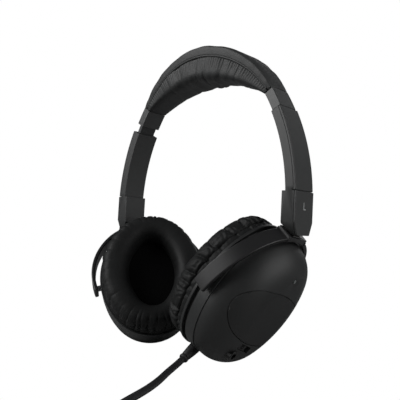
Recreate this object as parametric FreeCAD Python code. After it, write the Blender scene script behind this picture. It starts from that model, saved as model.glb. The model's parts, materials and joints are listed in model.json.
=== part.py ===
import FreeCAD, Part
import math
import os

# Over-ear aviation headset, seen as it stands: +Z up, the wearer's left is +X and front is -Y.
# Lengths in millimetres, angles in degrees. Pieces are built about the middle plane of the
# headband (y = 0) for the left side, mirrored for the right, and moved by ORIGIN at the end.

V = FreeCAD.Vector

# --- where the origin lies, measured from the headband's own centre plane ---
origin_x = -0.01
origin_y = -5.40
origin_z = 2.50

# --- headband ---
band_radius = 67.7            # outer surface of the top cover
band_centre_z = 139.0
cover_middle = 7.0            # thickness of the top cover at the crown
cover_end = 3.0               # and at the end caps
cover_end_angle = 60.6        # where the seam between cover and cushion ends
pad_bottom_z = 183.0          # lowest point of the cushion's underside at the crown
pad_end_half = 53.5           # underside arc: half its span and its height there
pad_end_z = 168.5
band_half_width = 14.5        # at the crown
band_end_half_width = 8.4
band_half_span = 62.0         # where the band has come down to that width
spring_thick = 0.8
spring_half_width = 6.0
spring_half_angle = 56.0      # the spring ends inside the end caps
soft_gap = 0.3                # clearance round soft and moving surfaces
touch_gap = 0.02              # between pieces that rest on each other

# --- curved slide of each arm: everything runs on one arc ---
slide_radius = 125.0
slide_centre_x = -49.4        # for the left side
slide_centre_z = 103.6
cap_low = 26.5                # end cap, from this angle of the arc
cap_high = 32.5               # to this one
cap_half_thick = 3.25
cap_half_width = 8.15
cap_pin_angle = 28.8
cap_pin_half_pitch = 3.6
cap_pin_sunk = 0.4
cap_skin = 0.8                # left over the far end of each pin
bar_half_thick = 1.5
bar_half_width = 6.75
bar_top = 31.0
bar_inside = 40.0             # length of bar held in a fully closed arm
fit_gap = 0.1                 # bar in its end cap
arm_top = 26.3
arm_low = 3.0                 # the arc ends here, the hinge block follows
arm_half_thick = 3.5
arm_half_width = 9.1
arm_cover_thick = 1.7
arm_floor = 1.7
arm_slot_gap = 0.35           # bar in its arm
arm_screw_angle = 5.2
arm_screw_half_pitch = 5.5
arm_screw_skin = 0.6          # left over the tip of each screw
detent_low = 20.0             # detent spring, on the floor of the arm's slot
detent_high = 24.5
detent_thick = 0.2
detent_half_wide = 2.5
block_inner_x = 69.6
block_outer_x = 77.9
block_flat_z = 84.8           # flat end of the block's outer edge
corner_cut = 3.4              # front and rear corners at the bottom
corner_height = 7.5
hinge_cover_thick = 1.5
rest_extension_right = 2.6    # degrees that the right arm is drawn out
rest_flex = 1.25              # each end of the band, opened outwards about its outer edge

# --- swivel between arm and fork ---
swivel_x = 72.2               # where the swivel axis leaves the arm
swivel_z = 85.4
swivel_lean = 43.7            # the axis leans inwards
swivel_rake = 7.0             # and forwards
swivel_depth = 44.5           # from there to the tilt axis
rest_swivel_right = 31.0
pin_radius = 2.0
pin_head_radius = 3.0
pin_head_thick = 1.0
running_gap = 0.05            # pins in their bores
pin_seat_up = 2.2             # thickness of arm under the pin's head
pin_in_neck = 3.0             # depth of the pin in the fork's neck

# --- fork ---
fork_half_span = 41.2
fork_height = 45.0
fork_end_radius = 37.0
fork_thick = 2.6
fork_half_wide = 4.75
fork_tail = 3.6               # how far the ends reach below the tilt axis
neck_half_long = 10.0
neck_half_wide = 5.2
neck_top = 45.6
neck_gap = 0.3                # between the fork's neck and the arm
neck_root = 1.5               # neck let into the fork's arch
fork_skin = 0.8               # left over the outer end of each tilt pin
rest_tilt_left = -14.4
rest_tilt_right = -7.0

# --- ear cup: an upright oval, raked in its fork ---
cup_a = 35.0                  # half width
cup_b = 43.5                  # half height
cup_end_radius = 30.0
cup_rake = 16.7
cup_out = 4.1                 # cup's own centre, from the tilt axis
cup_forward = 0.6
cup_down = 3.7
back_n = -9.3                 # plane that the cushion is fixed to
part_n = 2.0                  # joint between cup body and outer shell
shell_n = 23.8                # outer face of the shell
flange_out = 0.9
flange_thick = 1.8
groove_wide = 2.0
groove_deep = 1.7
body_wall = 3.4
shell_wall = 2.0
shell_round = 20.0
shell_inset = 0.5             # the shell is this much smaller all round than the body
joint_gap = 0.1
boss_inset = 5.6
boss_radius = 2.9
boss_angles = (40.0, 140.0, 220.0, 320.0)
boss_length = 9.0
screw_radius = 1.0
screw_head_radius = 1.9
screw_head_thick = 1.4
tilt_pin_radius = 2.0
tilt_pin_in = 3.0
pivot_boss_in = 7.5           # boss round each tilt pin, from the cup's side wall inwards
pivot_boss_out = 2.0
pivot_boss_wall = 2.0
pivot_bore_in = 6.0
screw_past = 6.0              # cup screws, beyond the joint of body and shell

# --- ear cushion ---
cushion_thick = 16.1
cushion_round = 9.0
cushion_hole_a = 16.0
cushion_hole_b = 26.5
cushion_hole_end = 14.0
cushion_lip = 4.5

# --- inside each cup ---
baffle_thick = 1.5
mouth_inset = 15.0
cloth_thick = 0.3
driver_radius = 20.0
driver_depth = 4.4
magnet_radius = 10.5
magnet_depth = 3.8
driver_mouth = 17.5
driver_wall = 1.5
driver_roof = 1.2
driver_vent_lip = 2.0         # of the driver's roof under the magnet
diaphragm_back = 0.6          # from the baffle to the middle of the dome
diaphragm_thick = 0.3
diaphragm_inset = 1.6
baffle_gap = 0.8              # between the baffle and the screw bosses
cloth_lap = 2.0               # of the cloth over the edge of the mouth
cloth_pocket = 0.4            # room for the cloth's edge in the cushion
cloth_pocket_lap = 2.5
diaphragm_dome = 130.0

# --- outer face of the left cup ---
door_u = -2.0
door_w = -2.8
door_a = 17.2                 # half height
door_b = 29.5                 # half length
door_end_radius = 15.4
door_slant = 5.0
door_gap = 0.35
cell_radius = 5.25
cell_length = 44.5
cell_under_door = 3.4
tray_wall = 1.4
contact_thick = 0.6
contact_gap = 0.1
contact_half_wide = 3.5
contact_past = 2.0            # of each contact above the middle of the cell
tray_end_gap = 1.2
tray_side_gap = 0.5
tray_under = 0.3
tray_shell_gap = 0.2
board_n = 5.0
board_thick = 1.6
board_inset = 9.2
lamp_u = -6.0
lamp_w = 24.2
lamp_radius = 1.3
dimple_radius = 5.0
dimple_depth = 0.6
lamp_length = 3.3
lamp_sunk = 0.1
lamp_foot = 0.7               # its foot is this much wider
switch_u = -3.0
switch_w = -23.4
switch_slot_half = 6.2
switch_slot_half_wide = 2.1
switch_travel = 4.0
switch_sink = 0.5
switch_side_gap = 0.25
switch_end_gap = 0.2
switch_root = 0.5             # knob let into its foot
switch_foot_half_wide = 3.2
switch_base_longer = 1.0
switch_base_half_wide = 2.6
switch_base_gap = 0.2
switch_foot = 1.2
switch_under = 1.3            # foot of the slider below the shell's inner face
jack_u = -6.8
jack_w = -30.4
jack_bore = 1.8
jack_depth = 14.0
jack_barrel = 3.6
jack_sunk = 0.3

# --- cable ---
cable_radius = 1.95
gland_n = -1.8                # where the strain relief leaves the foot of the cup
gland_u = -1.9
gland_lean = 45.0             # it leans forwards and a little outwards
gland_turn = 20.0
gland_root = 3.6
gland_tip = 2.6
gland_length = 12.0
gland_sunk = 5.0
gland_head = 4.4
gland_head_thick = 1.5
gland_head_lap = 0.2
cable_floor_gap = 0.05
bend_share = 0.45             # of the shorter run on each side of a bend, taken by its arc
coil_x = 98.0                 # the put-away length, beside the headset
coil_y = -141.0
coil_middle_radius = 21.5
coil_half_wide = 7.9
coil_high = 12.0
plug_body_radius = 4.2
plug_body_length = 26.0
plug_boot_length = 10.0
plug_boot_wall = 0.6
plug_coil_gap = 0.2
plug_back = 18.0              # the boot starts this far in front of the coil's middle
plug_nose_radius = 0.7
plug_nose_length = 1.2
plug_pin_radius = 1.75
plug_pin_length = 14.0


def box(x0, x1, y0, y1, z0, z1):
    return Part.makeBox(x1 - x0, y1 - y0, z1 - z0, V(x0, y0, z0))


def rod(radius, start, end):
    """Round bar from one point to another."""
    along = end.sub(start)
    return Part.makeCylinder(radius, along.Length, start, along)


def oval_face(a, b, end_radius, n, u=0.0, w=0.0, slant=0.0):
    """Oval of four tangent arcs in the plane x = n, half width a along y, half height b along z."""
    end_shift = b - end_radius
    side_radius = (a * a - end_radius * end_radius + end_shift * end_shift) / (2 * (a - end_radius))
    side_shift = side_radius - a
    lean = math.atan2(end_shift, side_shift)
    join_y = -side_shift + side_radius * math.cos(lean)
    join_z = side_radius * math.sin(lean)
    corners = [(join_y, join_z), (-join_y, join_z), (-join_y, -join_z), (join_y, -join_z)]
    middles = [(0, b), (-a, 0), (0, -b), (a, 0)]
    edges = []
    for i in range(4):
        start, middle, end = corners[i], middles[i], corners[(i + 1) % 4]
        points = [V(n, p[0], p[1]) for p in (start, middle, end)]
        edges.append(Part.Arc(*points).toShape())
    face = Part.Face(Part.Wire(edges))
    face.rotate(V(n, 0, 0), V(1, 0, 0), slant)
    face.translate(V(0, u, w))
    return face


def oval_block(n0, n1, a, b, end_radius, u=0.0, w=0.0, slant=0.0):
    return oval_face(a, b, end_radius, n0, u, w, slant).extrude(V(n1 - n0, 0, 0))


def cup_block(n0, n1, grow=0.0):
    """Slice of the cup's own oval, grown or shrunk all round."""
    return oval_block(n0, n1, cup_a + grow, cup_b + grow, cup_end_radius + grow)


def rounded(block, plane_n, radius):
    """Round the edges of a block that lie in the plane x = plane_n."""
    edges = [e for e in block.Edges
             if abs(e.BoundBox.XMin - plane_n) < 1e-6 and abs(e.BoundBox.XMax - plane_n) < 1e-6]
    return block.makeFillet(radius, edges)


def arc_block(r0, r1, low, high, y0, y1):
    """Piece of a ring about the slide's centre, from angle low to angle high."""
    c = V(slide_centre_x, 0, slide_centre_z)
    face = Part.Face(Part.makePolygon([V(r0, y0, 0), V(r1, y0, 0), V(r1, y1, 0), V(r0, y1, 0), V(r0, y0, 0)]))
    face.rotate(V(0, 0, 0), V(0, 1, 0), -low)
    face.translate(c)
    return face.revolve(c, V(0, 1, 0), -(high - low))


def band_outline():
    """Plan of the headband: widest at the crown, narrower at the end caps."""
    reach = band_half_span
    wide, narrow = band_half_width, band_end_half_width
    points = [V(-reach, narrow, 0), V(0, wide, 0), V(reach, narrow, 0)]
    mirrored = [V(p.x, -p.y, 0) for p in reversed(points)]
    edges = [Part.Arc(*points).toShape(), Part.LineSegment(points[2], mirrored[0]).toShape(),
             Part.Arc(*mirrored).toShape(), Part.LineSegment(mirrored[2], points[0]).toShape()]
    face = Part.Face(Part.Wire(edges))
    face.translate(V(0, 0, 100))
    return face.extrude(V(0, 0, 120))


def cylinder_z(centre_z, radius):
    return Part.makeCylinder(radius, 60, V(0, -30, centre_z), V(0, 1, 0))


def arc_through(half_span, end_z, crown_z):
    """Radius and centre height of the arc with this span that rises to crown_z."""
    rise = crown_z - end_z
    radius = (half_span * half_span + rise * rise) / (2 * rise)
    return radius, crown_z - radius


def cap_clearance():
    """Space kept for both end caps and everything below them."""
    left = arc_block(90, 160, -20, cap_high + math.degrees(soft_gap / slide_radius), -30, 30)
    return left.fuse(left.mirror(V(0, 0, 0), V(1, 0, 0)))


crown_z = band_centre_z + band_radius
seam_span = (band_radius - cover_end) * math.sin(math.radians(cover_end_angle))
seam_end_z = band_centre_z + (band_radius - cover_end) * math.cos(math.radians(cover_end_angle))
seam_radius, seam_centre_z = arc_through(seam_span, seam_end_z, crown_z - cover_middle)
pad_radius, pad_centre_z = arc_through(pad_end_half, pad_end_z, pad_bottom_z)


def headband_top_cover():
    solid = cylinder_z(band_centre_z, band_radius).cut(cylinder_z(seam_centre_z, seam_radius))
    return solid.common(band_outline()).cut(cap_clearance()).Solids[0]


def headband_spring():
    outer = seam_radius - fit_gap
    half_angle = math.radians(spring_half_angle)
    reach = 2 * outer
    ring = cylinder_z(seam_centre_z, outer).cut(cylinder_z(seam_centre_z, outer - spring_thick))
    wedge = Part.Face(Part.makePolygon([
        V(0, -spring_half_width, seam_centre_z),
        V(reach * math.sin(half_angle), -spring_half_width, seam_centre_z + reach * math.cos(half_angle)),
        V(-reach * math.sin(half_angle), -spring_half_width, seam_centre_z + reach * math.cos(half_angle)),
        V(0, -spring_half_width, seam_centre_z)]))
    return ring.common(wedge.extrude(V(0, 2 * spring_half_width, 0)))


def headband_cushion():
    top = seam_radius - spring_thick - 2 * fit_gap
    solid = cylinder_z(seam_centre_z, top).cut(cylinder_z(pad_centre_z, pad_radius))
    solid = solid.common(band_outline()).common(box(-70, 70, -30, 30, 150, 220))
    return solid.cut(cap_clearance()).Solids[0]


def end_cap():
    body = arc_block(slide_radius - cap_half_thick, slide_radius + cap_half_thick,
                     cap_low, cap_high, -cap_half_width, cap_half_width)
    thick = bar_half_thick + fit_gap
    wide = bar_half_width + fit_gap
    body = body.cut(arc_block(slide_radius - thick, slide_radius + thick, cap_low - 1, cap_high + 1, -wide, wide))
    return body.cut(Part.makeCompound(end_cap_pins()))


def end_cap_pins():
    """Two pins that hold the bar in its cap, sunk in from the inner face."""
    angle = math.radians(cap_pin_angle)
    way = V(math.cos(angle), 0, math.sin(angle))
    pins = []
    for y in (-cap_pin_half_pitch, cap_pin_half_pitch):
        c = V(slide_centre_x, y, slide_centre_z)
        pins.append(rod(screw_radius, c + way * (slide_radius - cap_half_thick + cap_pin_sunk),
                        c + way * (slide_radius + cap_half_thick - cap_skin)))
    return pins


def slider_bar():
    low = arm_top - math.degrees(bar_inside / slide_radius)
    bar = arc_block(slide_radius - bar_half_thick, slide_radius + bar_half_thick,
                    low, bar_top, -bar_half_width, bar_half_width)
    return bar.cut(Part.makeCompound(end_cap_pins()))


def fork_frame():
    """Placement of the fork's own axes on the left: x outwards, y rearwards, z up the swivel."""
    lean = FreeCAD.Rotation(V(0, 1, 0), swivel_lean)
    rake = FreeCAD.Rotation(V(1, 0, 0), -swivel_rake)
    turn = lean.multiply(rake)
    tilt_centre = V(swivel_x, 0, swivel_z) - turn.multVec(V(0, 0, 1)) * swivel_depth
    return FreeCAD.Placement(tilt_centre, turn)


def cup_frame(tilt):
    """Placement of the cup's oval on the left, within the fork, at a given tilt."""
    turned = FreeCAD.Rotation(V(0, 1, 0), tilt)
    centre = turned.multVec(V(cup_out, -cup_forward, -cup_down))
    return FreeCAD.Placement(centre, turned.multiply(FreeCAD.Rotation(V(1, 0, 0), -cup_rake)))


def placed(shape, placement):
    moved = shape.copy()
    moved.Placement = placement.multiply(moved.Placement)
    return moved


def block_bottom():
    """Everything below the slanted face that the fork turns against, and the trimmed corners."""
    depth = neck_top + neck_gap
    frame = fork_frame()
    below = placed(box(-60, 60, -60, 60, depth - 80, depth), frame)
    below = below.fuse(box(40, 100, -30, 30, 0, block_flat_z))
    for side in (-1, 1):
        y = side * arm_half_width
        corner = Part.Face(Part.makePolygon([
            V(50, y - side * corner_cut, block_flat_z - 1), V(50, y + side * 5, block_flat_z - 1),
            V(50, y + side * 5, block_flat_z + corner_height), V(50, y, block_flat_z + corner_height),
            V(50, y - side * corner_cut, block_flat_z - 1)]))
        below = below.fuse(corner.extrude(V(60, 0, 0)))
    return below


def block_top_z():
    return slide_centre_z + slide_radius * math.sin(math.radians(arm_low))


def arm_inner_shell():
    outer = arm_half_thick - arm_cover_thick
    curved = arc_block(slide_radius - arm_half_thick, slide_radius + outer,
                       arm_low, arm_top, -arm_half_width, arm_half_width)
    block = box(block_inner_x, block_outer_x, -arm_half_width, arm_half_width, 70, block_top_z())
    low = arm_top - math.degrees(bar_inside / slide_radius) - 1.0
    wide = bar_half_width + arm_slot_gap
    slot = arc_block(slide_radius - arm_half_thick + arm_floor, slide_radius + arm_half_thick,
                     low, arm_top + 1, -wide, wide)
    shell = curved.fuse(block).cut(slot).cut(block_bottom())
    frame = fork_frame()
    bore = placed(rod(pin_radius + running_gap, V(0, 0, 40), V(0, 0, 60)), frame)
    pocket = placed(rod(pin_head_radius + soft_gap, V(0, 0, pin_seat()), V(0, 0, 70)), frame)
    shell = shell.cut(bore).cut(pocket)
    for screw in arm_screws():
        shell = shell.cut(screw)
    return shell.Solids[0]


def pin_seat():
    """Height up the swivel axis of the seat under the pin's head."""
    return neck_top + neck_gap + pin_seat_up


def arm_outer_cover():
    inner = arm_half_thick - arm_cover_thick
    cover = arc_block(slide_radius + inner, slide_radius + arm_half_thick,
                      arm_low + math.degrees(fit_gap / slide_radius), arm_top, -arm_half_width, arm_half_width)
    for screw in arm_screws():
        cover = cover.cut(screw)
    return cover


def hinge_cover():
    outer_x = block_outer_x + hinge_cover_thick
    plate = box(block_outer_x + joint_gap, outer_x, -arm_half_width, arm_half_width, 70, block_top_z())
    return plate.cut(block_bottom()).Solids[0]


def arm_screws():
    angle = math.radians(arm_screw_angle)
    way = V(math.cos(angle), 0, math.sin(angle))
    c = V(slide_centre_x, 0, slide_centre_z)
    screws = []
    for y in (-arm_screw_half_pitch, arm_screw_half_pitch):
        base = c + way * (slide_radius - arm_half_thick) + V(0, y, 0)
        head = rod(screw_head_radius, base, base + way * screw_head_thick)
        shank = rod(screw_radius, base, base + way * (2 * arm_half_thick - arm_screw_skin))
        screws.append(head.fuse(shank))
    return screws


def detent_spring():
    floor = slide_radius - arm_half_thick + arm_floor
    return arc_block(floor + touch_gap, floor + touch_gap + detent_thick, detent_low, detent_high,
                     -detent_half_wide, detent_half_wide)


def swivel_pin():
    seat = pin_seat() + touch_gap
    head = rod(pin_head_radius, V(0, 0, seat), V(0, 0, seat + pin_head_thick))
    shank = rod(pin_radius, V(0, 0, neck_top - pin_in_neck), V(0, 0, seat + pin_head_thick))
    return head.fuse(shank).removeSplitter()


def fork():
    half_span, high = fork_half_span, fork_height
    outer = oval_block(-fork_half_wide, fork_half_wide, half_span, high, fork_end_radius)
    inner = oval_block(-20, 20, half_span - fork_thick, high - fork_thick, fork_end_radius - fork_thick)
    neck = box(-neck_half_wide, neck_half_wide, -neck_half_long, neck_half_long,
               high - fork_thick - neck_root, neck_top)
    arch = outer.fuse(neck).cut(inner).cut(box(-20, 20, -60, 60, -80, -fork_tail))
    arch = arch.cut(rod(pin_radius, V(0, 0, neck_top - pin_in_neck), V(0, 0, 60)))
    for side in (-1, 1):
        arch = arch.cut(rod(tilt_pin_radius, V(0, side * 20, 0), V(0, side * (half_span - fork_skin), 0)))
    return arch.Solids[0]


def tilt_pins():
    return [rod(tilt_pin_radius, V(0, side * (cup_a - tilt_pin_in), 0),
                V(0, side * (fork_half_span - fork_skin), 0)) for side in (-1, 1)]


def in_cup(vector):
    """A vector of the cup in its fork, in the axes of the raked oval."""
    return FreeCAD.Rotation(V(1, 0, 0), cup_rake).multVec(vector)


def tilt_axis_in_cup(y):
    return in_cup(V(-cup_out, cup_forward + y, cup_down))


def boss_places():
    places = []
    for angle in boss_angles:
        a = math.radians(angle)
        reach = oval_reach(angle) - boss_inset
        places.append((reach * math.cos(a), reach * math.sin(a)))
    return places


def oval_reach(angle):
    """Distance from the centre to the cup's oval at an angle from the y axis."""
    a = math.radians(angle)
    return 1.0 / math.hypot(math.cos(a) / cup_a, math.sin(a) / cup_b)


def cup_body():
    floor = cup_block(back_n, back_n + flange_thick, flange_out)
    ring = cup_block(back_n, part_n, 0.0)
    groove_n = back_n + flange_thick
    groove = cup_block(groove_n, groove_n + groove_wide, 2 * flange_out)
    groove = groove.cut(cup_block(groove_n, groove_n + groove_wide, -groove_deep))
    body = floor.fuse(ring).cut(groove)
    body = body.cut(cup_block(groove_n, part_n + 1, -body_wall))
    body = body.cut(cup_block(back_n - 1, groove_n + 1, -mouth_inset))
    for u, w in boss_places():
        body = body.fuse(rod(boss_radius, V(back_n, u, w), V(part_n, u, w)))
    for side in (-1, 1):
        inner = tilt_axis_in_cup(side * (cup_a - pivot_boss_in))
        outer = tilt_axis_in_cup(side * (cup_a - pivot_boss_out))
        body = body.fuse(rod(tilt_pin_radius + pivot_boss_wall, inner, outer))
    for side in (-1, 1):
        inner = tilt_axis_in_cup(side * (cup_a - pivot_bore_in))
        outer = tilt_axis_in_cup(side * (cup_a + 9.0))
        body = body.cut(rod(tilt_pin_radius + running_gap, inner, outer))
    for screw in cup_screws():
        body = body.cut(screw)
    return body.Solids[0]


def cup_screws():
    screws = []
    for u, w in boss_places():
        head = rod(screw_head_radius, V(back_n, u, w), V(back_n + screw_head_thick, u, w))
        shank = rod(screw_radius, V(back_n, u, w), V(part_n + screw_past, u, w))
        screws.append(head.fuse(shank))
    return screws


def shell_solid():
    return rounded(cup_block(part_n + joint_gap, shell_n, -shell_inset), shell_n, shell_round)


def inner_block(clearance):
    """Room inside the outer shell, less a clearance."""
    top = shell_n - shell_wall - clearance
    inset = shell_inset + shell_wall + clearance
    return rounded(cup_block(part_n - 1, top, -inset), top, shell_round - shell_wall - clearance)


def outer_shell():
    shell = shell_solid().cut(inner_block(0.0))
    for u, w in boss_places():
        boss = rod(boss_radius, V(part_n + joint_gap, u, w), V(part_n + boss_length, u, w))
        shell = shell.fuse(boss)
    shell = shell.common(shell_solid())
    for screw in cup_screws():
        shell = shell.cut(screw)
    return shell.Solids[0]


def door_block(n0, n1, grow=0.0):
    return oval_block(n0, n1, door_a + grow, door_b + grow, door_end_radius + grow, 0, 0, 90 + door_slant) \
        .translated(V(0, door_u, door_w))


def switch_block(n0, n1, half_long, half_wide):
    return box(n0, n1, switch_u - half_long, switch_u + half_long, switch_w - half_wide, switch_w + half_wide)


def left_outer_shell():
    shell = outer_shell()
    shell = shell.cut(door_block(10, 40, door_gap))
    shell = shell.cut(switch_block(15, 40, switch_slot_half, switch_slot_half_wide))
    shell = shell.cut(rod(lamp_radius, V(15, lamp_u, lamp_w), V(40, lamp_u, lamp_w)))
    ball = (dimple_radius ** 2 + dimple_depth ** 2) / (2 * dimple_depth)
    shell = shell.cut(Part.makeSphere(ball, V(shell_n + ball - dimple_depth, lamp_u, lamp_w)))
    shell = shell.cut(rod(jack_barrel, V(15, jack_u, jack_w), V(40, jack_u, jack_w)))
    return shell.Solids[0]


def battery_door():
    skin = shell_solid().cut(inner_block(0.0)).common(door_block(10, 40))
    return skin.Solids[0]


def in_door(n, along, across):
    """A point given along and across the battery door."""
    a = math.radians(door_slant)
    return V(n, door_u + along * math.cos(a) - across * math.sin(a),
             door_w + along * math.sin(a) + across * math.cos(a))


def cell_n():
    return shell_n - shell_wall - cell_under_door - cell_radius


def battery():
    half = cell_length / 2
    return rod(cell_radius, in_door(cell_n(), -half, 0), in_door(cell_n(), half, 0))


def along_door(block):
    """Turn a block that was made about the x axis to lie along the battery door."""
    block.rotate(V(0, 0, 0), V(1, 0, 0), door_slant)
    block.translate(V(0, door_u, door_w))
    return block


def battery_tray():
    bay = cell_length / 2 + contact_thick + tray_end_gap
    side = cell_radius + tray_side_gap
    bottom = cell_n() - cell_radius - tray_under
    base = board_n + board_thick + joint_gap
    outer = along_door(box(base, shell_n, -bay - tray_wall, bay + tray_wall, -side - tray_wall, side + tray_wall))
    tray = outer.common(inner_block(tray_shell_gap))
    return tray.cut(along_door(box(bottom, 40, -bay, bay, -side, side))).Solids[0]


def battery_contacts():
    plates = []
    bottom = cell_n() - cell_radius
    for side in (-1, 1):
        near = side * (cell_length / 2 + contact_gap)
        far = near + side * contact_thick
        plates.append(along_door(box(bottom, cell_n() + contact_past, min(near, far), max(near, far),
                                    -contact_half_wide, contact_half_wide)))
    return plates


def circuit_board():
    return cup_block(board_n, board_n + board_thick, -board_inset)


def indicator_lamp():
    foot = shell_n - lamp_sunk - lamp_length
    lens = rod(lamp_radius - joint_gap, V(foot, lamp_u, lamp_w), V(shell_n - lamp_sunk, lamp_u, lamp_w))
    base = rod(lamp_radius + lamp_foot, V(board_n + board_thick + joint_gap, lamp_u, lamp_w),
               V(foot, lamp_u, lamp_w))
    return base.fuse(lens).removeSplitter()


def power_switch():
    """Slider: a ribbed thumb piece in the slot and a wider foot under the shell."""
    rest_u = switch_u - switch_travel / 2
    under = shell_n - shell_wall - switch_under
    knob_half = switch_slot_half - switch_travel / 2 - switch_end_gap
    half_wide = switch_slot_half_wide - switch_side_gap
    knob = box(under - switch_root, shell_n - switch_sink, rest_u - knob_half, rest_u + knob_half,
               switch_w - half_wide, switch_w + half_wide)
    foot = box(under - switch_foot, under, rest_u - knob_half, rest_u + knob_half,
               switch_w - switch_foot_half_wide, switch_w + switch_foot_half_wide)
    return knob.fuse(foot).removeSplitter()


def switch_base():
    """Body of the slide switch, between the circuit board and the slider's foot."""
    under = shell_n - shell_wall - switch_under - switch_foot - switch_base_gap
    return switch_block(board_n + board_thick + joint_gap, under, switch_slot_half + switch_base_longer,
                        switch_base_half_wide)


def jack_socket():
    top = shell_n - jack_sunk
    barrel = rod(jack_barrel - joint_gap, V(board_n + board_thick + joint_gap, jack_u, jack_w), V(top, jack_u, jack_w))
    return barrel.cut(rod(jack_bore, V(top - jack_depth, jack_u, jack_w), V(top + 1, jack_u, jack_w)))


def baffle():
    n0 = back_n + flange_thick + joint_gap
    plate = cup_block(n0, n0 + baffle_thick, -boss_inset - boss_radius - baffle_gap)
    return plate.cut(rod(driver_mouth, V(n0 - 1, 0, 0), V(n0 + 5, 0, 0)))


def driver_frame():
    n0 = back_n + flange_thick + joint_gap + baffle_thick + joint_gap
    frame = rod(driver_radius, V(n0, 0, 0), V(n0 + driver_depth, 0, 0))
    room = rod(driver_radius - driver_wall, V(n0 - 1, 0, 0), V(n0 + driver_depth - driver_roof, 0, 0))
    return frame.cut(room).cut(rod(magnet_radius - driver_vent_lip, V(n0, 0, 0), V(n0 + 10, 0, 0)))


def driver_magnet():
    n0 = back_n + flange_thick + baffle_thick + 2 * joint_gap + driver_depth + touch_gap
    return rod(magnet_radius, V(n0, 0, 0), V(n0 + magnet_depth, 0, 0))


def driver_diaphragm():
    n0 = back_n + flange_thick + baffle_thick + 2 * joint_gap + diaphragm_back
    ball = diaphragm_dome
    inner = Part.makeSphere(ball, V(n0 + ball, 0, 0)).cut(Part.makeSphere(ball - diaphragm_thick, V(n0 + ball, 0, 0)))
    return inner.common(rod(driver_radius - diaphragm_inset, V(n0 - 2, 0, 0), V(n0 + 6, 0, 0)))


def ear_cloth():
    n0 = back_n - joint_gap - cloth_thick
    return cup_block(n0, back_n - joint_gap, -mouth_inset + cloth_lap)


def ear_cushion():
    n0 = back_n - joint_gap
    n1 = n0 - cushion_thick
    outer = rounded(cup_block(n1, n0, flange_out - fit_gap), n1, cushion_round)
    hole = oval_block(n1 - 1, n0 + 1, cushion_hole_a, cushion_hole_b, cushion_hole_end)
    ring = outer.cut(hole)
    inner_edges = [e for e in ring.Edges if abs(e.BoundBox.XMin - n1) < 1e-6 and abs(e.BoundBox.XMax - n1) < 1e-6
                   and abs(e.BoundBox.YMax) < cushion_hole_a + 1 and abs(e.BoundBox.ZMax) < cushion_hole_b + 1
                   and abs(e.BoundBox.YMin) < cushion_hole_a + 1 and abs(e.BoundBox.ZMin) < cushion_hole_b + 1]
    ring = ring.makeFillet(cushion_lip, inner_edges)
    return ring.cut(cup_block(n0 - cloth_thick - cloth_pocket, n0 + 1, -mouth_inset + cloth_pocket_lap)).Solids[0]


def gland_way():
    lean, turn = math.radians(gland_lean), math.radians(gland_turn)
    return V(math.sin(lean) * math.sin(turn), -math.sin(lean) * math.cos(turn), -math.cos(lean))


def gland_start():
    return V(gland_n, gland_u, -cup_b)


def gland_end():
    return gland_start() + gland_way() * gland_length


def cable_gland():
    way = gland_way()
    inner = gland_start() - way * gland_sunk
    cone = Part.makeCone(gland_root, gland_tip, gland_length + gland_sunk, inner, way)
    head = rod(gland_head, inner - way * gland_head_thick, inner + way * gland_head_lap)
    return cone.fuse(head).removeSplitter()


def cable_points(start):
    """Route of the cable, from the strain relief to the first turn of the coil."""
    z = cable_radius + cable_floor_gap
    return [start, V(27.68, -35.6, 3.38), V(29.4, -42.2, z), V(34.2, -50.6, z), V(41.4, -60.6, z),
            V(46.8, -71.9, z), V(52.3, -82.4, z), V(55.6, -94.2, z), V(60.4, -105.6, z), V(67.3, -116.2, z),
            V(73.4, -128.0, z), V(76.4, -141.4, z)]


def tube(points, radius):
    """Straight runs joined by tangent arcs, as large as the shorter run on each side allows."""
    edges = []
    radii = []
    last = points[0]
    for i in range(1, len(points) - 1):
        before, corner, after = points[i - 1], points[i], points[i + 1]
        way_in = (corner - before).normalize()
        way_out = (after - corner).normalize()
        turn = way_in.getAngle(way_out)
        shorter = min((corner - before).Length, (after - corner).Length)
        cut = bend_share * shorter
        radii.append(cut / math.tan(turn / 2))
        start, end = corner - way_in * cut, corner + way_out * cut
        inward = (way_out - way_in).normalize()
        reach = radii[-1] / math.cos(turn / 2) - radii[-1]
        edges.append(Part.LineSegment(last, start).toShape())
        edges.append(Part.Arc(start, corner + inward * reach, end).toShape())
        last = end
    edges.append(Part.LineSegment(last, points[-1]).toShape())
    path = Part.Wire(edges)
    first = (points[1] - points[0]).normalize()
    profile = Part.Wire([Part.makeCircle(radius, points[0], first)])
    solid = path.makePipeShell([profile], True, False, 1)
    expected = math.pi * radius * radius * path.Length
    print("cable: length %.1f mm, radii %s, volume %.4f of its section times its length"
          % (path.Length, ", ".join("%.0f" % r for r in radii), solid.Volume / expected))
    return solid


def cable_coil():
    outer = Part.makeCylinder(coil_middle_radius + coil_half_wide, coil_high, V(coil_x, coil_y, cable_floor_gap))
    inner = Part.makeCylinder(coil_middle_radius - coil_half_wide, coil_high, V(coil_x, coil_y, cable_floor_gap))
    return outer.cut(inner)


def plug_start():
    return V(coil_x + coil_middle_radius + coil_half_wide + plug_coil_gap + plug_body_radius, coil_y - plug_back,
             plug_body_radius + cable_floor_gap)


def plug_body():
    boot_start = plug_start()
    joint = boot_start + V(0, plug_boot_length, 0)
    boot = Part.makeCone(cable_radius + plug_boot_wall, plug_body_radius - plug_boot_wall, plug_boot_length,
                         boot_start, V(0, 1, 0))
    body = rod(plug_body_radius, joint, joint + V(0, plug_body_length, 0))
    return boot.fuse(body)


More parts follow.
